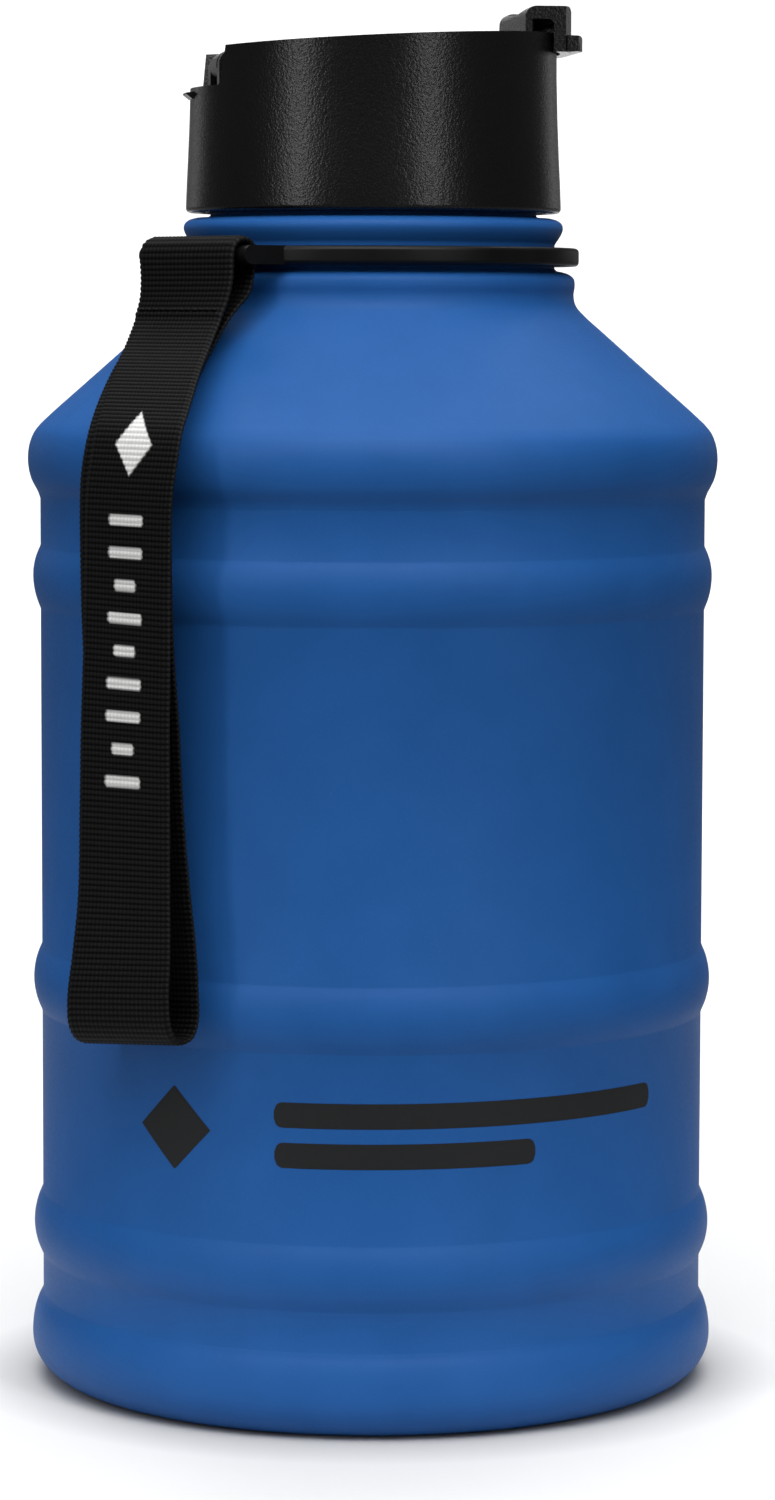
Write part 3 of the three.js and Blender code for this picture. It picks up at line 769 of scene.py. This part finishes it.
def strap_path():
    """Centre line of the webbing in the frame of the ring's lug, once round the loop.

    Each row is (out from the axis, height, sideways shift, twist about the vertical, tilt of the width).
    """
    turn = BAR_R + 0.35 + STRAP_T / 2
    rows = [(BAR_AT + turn * math.cos(math.radians(d)), RING_MID + turn * math.sin(math.radians(d)), 0, 0, 0)
            for d in (180, 144, 108, 72, 36, 0)]
    rows += [(44.2, 199.6, 0, -1, 0), (44.7, 196, -0.2, -2.6, 0), (46.2, 192.6, -0.2, -3.6, 0)]
    rows += [(50, 188.3, 1.7, -4, 0), (54.8, 184, 4.5, -3.4, 0), (61.4, 177.4, 9, -3.2, 0)]
    rows += [(64.6, 173.6, 11, -3.4, 0), (66, 169.5, 11.6, -3.6, 0), (66.8, 163, 11.2, -3.8, 0)]
    rows += [(66.9, 150, 10.8, -4, 0), (67.3, 136, 11, -3.4, 0), (67.7, 123, 11, -2.6, 1)]
    rows += [(68.1, 109, 11.3, -1.8, 2), (68.9, 94, 12, -0.8, 3.4), (70.2, 84.5, 12.8, 2.3, 4.6)]
    rows += [(71.2, 76.5, 13.1, 4.6, 5), (70.8, 72, 13.1, 5, 5), (69.4, 69.7, 13, 5, 5)]  # the fold
    rows += [(67.4, 69, 12.9, 5, 5), (65.4, 69.8, 12.8, 4.6, 5), (64.1, 72.4, 12.7, 4, 5)]
    rows += [(63.8, 77, 12.6, 3, 4.6), (63.7, 85, 12.2, 1.4, 4), (63.7, 95, 11, 0, 3)]  # rear leg
    rows += [(63.7, 109, 9.4, -0.6, 2), (63.7, 124, 8.4, -1, 1), (63.75, 136, 7.2, -1, 0)]
    rows += [(63.75, 150, 6.6, -1, 0), (63.8, 165, 6.8, -1, 0), (63, 171, 7.2, -1, 0)]
    rows += [(59.8, 176, 5.4, -1, 0), (53.4, 182.4, 1.6, -2, 0), (47.6, 188, -0.6, -3, 0)]
    rows += [(44.4, 192.2, -0.6, -3.4, 0), (42.4, 194.8, -0.4, -2, 0)]
    rows += [(40.5, 197.4, 0, 0, 0), (39.6, 200.4, 0, 0, 0)]
    return rows


def resampled(points, step):
    """A closed polyline of rows again at even spacing, and its whole length."""
    lengths = [0.0]
    for a, b in zip(points, points[1:] + points[:1]):
        lengths.append(lengths[-1] + math.dist(a[:3], b[:3]))
    count = 2 * round(lengths[-1] / step / 2)
    out, k = [], 0
    for i in range(count):
        s = lengths[-1] * i / count
        while lengths[k + 1] < s:
            k += 1
        f = (s - lengths[k]) / (lengths[k + 1] - lengths[k])
        a, b = points[k], points[(k + 1) % len(points)]
        out.append(tuple(x + (y - x) * f for x, y in zip(a, b)))
    return out, lengths[-1]


def frame_at(path, i):
    """Middle point, outward normal and width direction of the webbing at one station."""
    a = math.radians(LUG_DEG)
    radial, aside = Vector((math.cos(a), math.sin(a), 0)), Vector((-math.sin(a), math.cos(a), 0))

    def place(row):
        return radial * row[0] + Vector((0, 0, row[1])) + aside * row[2]

    twist, tilt = (math.radians(v) for v in path[i][3:])
    level = aside * math.cos(twist) - radial * math.sin(twist)
    across = level * math.cos(tilt) + Vector((0, 0, math.sin(tilt)))
    along = place(path[(i + 2) % len(path)]) - place(path[i - 2])
    return place(path[i]), along.cross(across).normalized(), across


def weave(across, along):
    """Height of the yarn, from 0 in the gaps to 1 on top, at a place given in ribs and in picks."""
    rib = abs(math.sin(math.pi * across)) ** 0.8
    over = abs(math.sin(math.pi * along / 2)) ** 0.8
    return rib * (0.15 + 0.85 * over)


def rounded_bar(x, y, half_x, half_y, radius=0.5):
    """Signed distance to a rounded rectangle about the origin, in millimetres."""
    dx, dy = abs(x) - half_x + radius, abs(y) - half_y + radius
    return math.hypot(max(dx, 0), max(dy, 0)) + min(max(dx, dy), 0) - radius


def strap_print(across, height):
    """How much white print covers a place on the front leg: a diamond and a ladder of plain bars."""
    distance = (abs(across) + abs(height - 171.4) - 5.2) / math.sqrt(2)
    for k, width in enumerate((4.8, 4.8, 3.0, 4.8, 3.0, 4.8, 4.8, 3.0, 4.8)):
        distance = min(distance, rounded_bar(across, height - 158.6 + 5.6 * k, width, 0.9))
    return min(max(0.5 - distance / 0.3, 0.0), 1.0)


def strap():
    centre = spline(strap_path(), 12, closed=True)
    path, length = resampled(centre, PICK / 2)
    columns = RIBS * 3
    loop = [(k / columns, 1) for k in range(columns + 1)] + [(1.0, 0)]  # (share of the width, side)
    loop += [(1 - k / columns, -1) for k in range(columns + 1)] + [(0.0, 0)]
    m, n = len(loop), len(path)
    verts, relief, ink, uvs = [], [], [], []
    for i in range(n):
        middle, normal, across = frame_at(path, i)
        front = i < n / 2 and path[i][0] > BAR_AT
        doubled = HEM if i < n / 2 and path[i][1] > HEM_Z else 0.0
        for share, side in loop:
            edge = min(share, 1 - share) * STRAP_WIDTH
            height = weave(share * RIBS + (0.5 if side else 0), i / 2) if side else 0.6
            thin = 1 - 0.45 * math.exp(-((edge / 0.5) ** 2))
            half = side * (STRAP_T / 2 * thin - YARN_RELIEF * (1 - height)) + doubled * (side + 1) / 2
            w = (share - 0.5) * STRAP_WIDTH + (0.18 if share > 0.5 else -0.18) * (side == 0)
            verts.append(tuple(middle + normal * half + across * w))
            relief.append(height)
            ink.append(strap_print(w, path[i][1]) if front and side > 0 else 0.0)
            uvs.append((share * STRAP_WIDTH + (0 if side >= 0 else 40), i * length / n))
    faces = []
    for i in range(n):
        j = (i + 1) % n
        for k in range(m):
            q = (k + 1) % m
            faces.append([i * m + k, i * m + q, j * m + q, j * m + k])
    mesh = bpy.data.meshes.new("hand_strap")
    mesh.from_pydata([tuple(c * MM for c in v) for v in verts], [], faces)
    layer = mesh.uv_layers.new(name="strip")
    corners = [0] * len(mesh.loops)
    mesh.loops.foreach_get("vertex_index", corners)
    layer.data.foreach_set("uv", [c for v in corners for c in uvs[v]])
    for name, values in (("relief", relief), ("ink", ink)):
        mesh.attributes.new(name, "FLOAT", "POINT").data.foreach_set("value", values)
    bm = bmesh.new()
    bm.from_mesh(mesh)
    bmesh.ops.recalc_face_normals(bm, faces=bm.faces)
    bm.to_mesh(mesh)
    bm.free()
    mesh.shade_smooth()
    band = new_object("hand_strap", mesh)
    return dress(band, "strap", "webbing", WEBBING, stands_for=["strap"]), path, length


def stitching(path):
    """A row of lockstitch along the hem of the sewn-down end."""
    verts, faces = [], []

    def stitch(start, end, lift):
        steps, around = 8, 6
        direction = (end - start).normalized()
        side = direction.cross(lift).normalized()
        first = len(verts)
        for i in range(steps + 1):
            t = i / steps
            centre = start.lerp(end, t) + lift * (0.20 * math.sin(math.pi * t))
            for k in range(around):
                a = 2 * math.pi * k / around
                r = 0.21 * (0.55 + 0.45 * math.sin(math.pi * t))
                verts.append(tuple(centre + side * (r * math.cos(a)) + lift * (r * math.sin(a))))
        for i in range(steps):
            for k in range(around):
                q = (k + 1) % around
                a, b = first + i * around, first + (i + 1) * around
                faces.append([a + k, a + q, b + q, b + k])
        faces.append([first + k for k in range(around)][::-1])
        faces.append([first + steps * around + k for k in range(around)])

    stations = [i for i, p in enumerate(path) if HEM_Z + 0.6 < p[1] < HEM_Z + 1.6 and i < len(path) / 2]
    middle, normal, across = frame_at(path, stations[len(stations) // 2])
    count = 12
    pitch = (STRAP_WIDTH - 2.0) / count
    base = middle + normal * (STRAP_T / 2 + HEM - 0.06)
    for k in range(count):
        at = -(STRAP_WIDTH - 2.0) / 2 + pitch * k
        stitch(base + across * (at + 0.15), base + across * (at + pitch - 0.15), normal)
    rows = mesh_object("strap_stitching", verts, faces)
    rows.data.shade_smooth()
    return dress(rows, "strap", "webbing", THREAD)


# ---------------------------------------------------------------- studio

VIEW_AZIMUTH = -8.0
DISTANCE = 0.866
CAMERA_Z = 0.1944


def around(azimuth_deg, distance, height):
    a = math.radians(azimuth_deg)
    return Vector((distance * math.sin(a), -distance * math.cos(a), height))


def camera():
    data = bpy.data.cameras.new("camera")
    data.sensor_width = 36.0
    data.lens = 114.2
    data.clip_end = 50
    cam = bpy.data.objects.new("camera", data)
    bpy.context.scene.collection.objects.link(cam)
    cam.location = around(VIEW_AZIMUTH, DISTANCE, CAMERA_Z)
    pan, tilt, roll = VIEW_AZIMUTH - 0.185, 90 - 5.28, 0.14
    turn = Matrix.Rotation(math.radians(pan), 4, "Z") @ Matrix.Rotation(math.radians(tilt), 4, "X")
    cam.matrix_world = Matrix.Translation(cam.location) @ turn @ Matrix.Rotation(math.radians(roll), 4, "Z")
    bpy.context.scene.camera = cam


def softbox(name, azimuth_deg, distance, height, width, tall, watts, aim=(0, 0, 0.13)):
    data = bpy.data.lights.new(name, "AREA")
    data.shape, data.size, data.size_y, data.energy = "RECTANGLE", width, tall, watts
    lamp = bpy.data.objects.new(name, data)
    bpy.context.scene.collection.objects.link(lamp)
    lamp.location = around(VIEW_AZIMUTH + azimuth_deg, distance, height)
    lamp.rotation_euler = (Vector(aim) - lamp.location).to_track_quat("-Z", "Y").to_euler()


def backdrop():
    """Pale floor that curves up into a wall behind the jug and turns greyer away from it, with a contact
    shadow painted grey round the jug's foot.
    """
    rows = [(-2.5, 0.0), (0.0, 0.0), (1.4, 0.0)]
    rows += arc(1.4, 0.8, 0.8, -84, 0, 14)
    verts, faces = [], []
    for y, z in rows:
        verts += [(-1.6, y, z), (1.6, y, z)]
    for k in range(len(rows) - 1):
        faces.append([2 * k, 2 * k + 1, 2 * k + 3, 2 * k + 2])
    mesh = bpy.data.meshes.new("floor")
    mesh.from_pydata(verts, [], faces)
    mesh.shade_smooth()
    floor = new_object("floor", mesh)
    floor.rotation_euler.z = math.radians(VIEW_AZIMUTH)
    m = Nodes("pale_floor", Roughness=0.9)
    m.shader.inputs["Specular IOR Level"].default_value = 0.1
    split = m.add("SeparateXYZ")
    m.link(m.position(), split.inputs["Vector"])
    widening = m.range(split.outputs["Y"], 0.0, 0.18, 0.0, 2.2)
    aside = m.math("SUBTRACT", m.math("ABSOLUTE", split.outputs["X"]), widening)
    ahead = m.math("MULTIPLY", split.outputs["Y"], -1.0)
    away = m.math("MAXIMUM", m.range(aside, 0.0, 1.0, 0.085, 0.26), m.range(ahead, 0.0, 1.0, 0.10, 0.17))
    pale = m.ramp(m.noise(3, 2, 0.5), (0.3, (0.82, 0.82, 0.815)), (0.7, (0.84, 0.84, 0.835)))
    # painted shadow: the floor is painted grey out to about 56 mm from the jug's axis, fading to pale by 76
    # mm, to stand in for the contact shadow
    painted_shadow_reach = m.add("VectorMath", operation="LENGTH")
    m.link(m.position(), painted_shadow_reach.inputs[0])
    pale = m.mix(m.range(painted_shadow_reach.outputs["Value"], 0.0, 1.0, 0.056, 0.076), (0.52, 0.52, 0.52), pale)
    m.to(Base_Color=m.mix(away, pale, (0.14, 0.14, 0.14)))
    floor.data.materials.append(m.material)


def studio():
    backdrop()
    softbox("strip_left", -47, 1.25, 0.68, 0.16, 0.95, 3.7, aim=(0, 0, 0.24))
    softbox("strip_right", 35, 1.25, 0.68, 0.14, 0.95, 3.1, aim=(0, 0, 0.24))
    softbox("high_front", 0, 0.70, 1.04, 1.3, 0.6, 12.2, aim=(0, 0, 0.26))
    softbox("overhead", 180, 0.10, 1.4, 1.2, 1.2, 10)
    softbox("rim_left", -141, 1.1, 0.29, 0.25, 0.16, 0.08)
    softbox("rim_right", 144, 1.1, 0.29, 0.25, 0.16, 0.07)
    softbox("wall_light", 180, 1.0, 1.6, 1.6, 0.8, 36, aim=(0.2, 1.9, 0.3))
    world = bpy.data.worlds.new("studio")
    world.use_nodes = True
    world.node_tree.nodes["Background"].inputs["Color"].default_value = (1, 1, 1, 1)
    world.node_tree.nodes["Background"].inputs["Strength"].default_value = 0.08
    bpy.context.scene.world = world
    bpy.context.scene.view_settings.view_transform = "Standard"


# ---------------------------------------------------------------- assembly

camera()
studio()
jug_body()
body_print()
base_disc()
cap_body()
gasket()
flip_lid()
plug()
pin()
neck_ring()
band, path, strap_length = strap()
seam = stitching(path)
